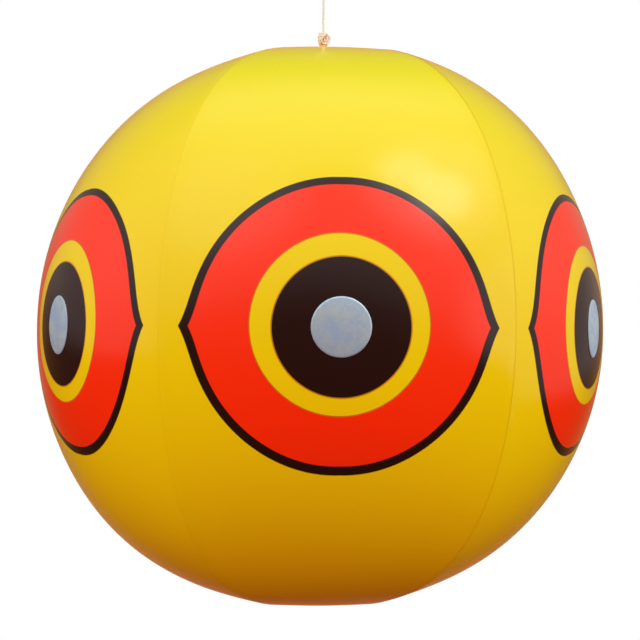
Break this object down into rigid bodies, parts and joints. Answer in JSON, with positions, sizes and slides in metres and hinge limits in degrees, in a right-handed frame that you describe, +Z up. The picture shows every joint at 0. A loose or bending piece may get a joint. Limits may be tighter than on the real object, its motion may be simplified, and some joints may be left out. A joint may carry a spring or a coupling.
{
  "type": "bird scare balloon",
  "caption": "Inflated vinyl ball of welded gores, a large printed eye on each with a silver pupil, hung by a knotted cord to scare birds off crops.",
  "frame": {"origin": "inner top of the hanging loop, where a hook, a nail or a branch holds the balloon", "axes": "+Z up along the cord and the ball's polar axis, and the front eye looks along -Y"},
  "size_m": [0.4112, 0.4012, 0.4989],
  "materials": {
    "yellow_vinyl": "glossy soft vinyl film, yellow, with black and red ink",
    "patch_vinyl": "glossy soft vinyl film, yellow",
    "tab_vinyl": "soft moulded vinyl, amber",
    "valve_vinyl": "soft moulded vinyl, milky",
    "silver_foil": "metallised film sticker, satin silver",
    "white_cord": "twisted off-white cord"
  },
  "bodies": {
    "anchor": {"hang_loop": "white_cord", "top_knot": "white_cord"},
    "cord": {"hang_cord": "white_cord"},
    "lower_knot": {"tab_knot": "white_cord"},
    "balloon": {"gore_1": "yellow_vinyl", "gore_2": "yellow_vinyl", "gore_3": "yellow_vinyl", "gore_4": "yellow_vinyl", "gore_5": "yellow_vinyl", "gore_6": "yellow_vinyl", "pupil_sticker_1": "silver_foil", "pupil_sticker_2": "silver_foil", "pupil_sticker_3": "silver_foil", "pupil_sticker_4": "silver_foil", "pupil_sticker_5": "silver_foil", "pupil_sticker_6": "silver_foil", "top_patch": "patch_vinyl", "bottom_patch": "patch_vinyl", "hang_tab": "tab_vinyl", "valve_flange": "valve_vinyl"},
    "stem": {"valve_stem": "valve_vinyl", "plug_strap": "valve_vinyl"},
    "plug": {"valve_plug": "valve_vinyl"},
    "flap": {"check_flap": "valve_vinyl"}
  },
  "joints": [
    {"name": "cord_swing", "type": "hinge", "parent": "anchor", "child": "cord", "pos_m": [0, 0, -0.0426], "axis": [0, 1, 0], "range_deg": [-45, 45]},
    {"name": "cord_twist", "type": "hinge", "parent": "cord", "child": "lower_knot", "pos_m": [0, 0, -0.0776], "axis": [0, 0, 1], "continuous": true},
    {"name": "balloon_swing", "type": "hinge", "parent": "lower_knot", "child": "balloon", "pos_m": [0, 0, -0.091], "axis": [1, 0, 0], "range_deg": [-45, 45]},
    {"name": "stem_pull", "type": "slide", "parent": "balloon", "child": "stem", "axis": [0, 0, -1], "range_m": [0, 0.016]},
    {"name": "plug_pull", "type": "slide", "parent": "stem", "child": "plug", "axis": [0, 0, -1], "range_m": [0, 0.012], "deforming": ["plug_strap"]},
    {"name": "flap_swing", "type": "hinge", "parent": "stem", "child": "flap", "pos_m": [0, 0.005, -0.47357], "axis": [-1, 0, 0], "range_deg": [0, 60]}
  ]
}
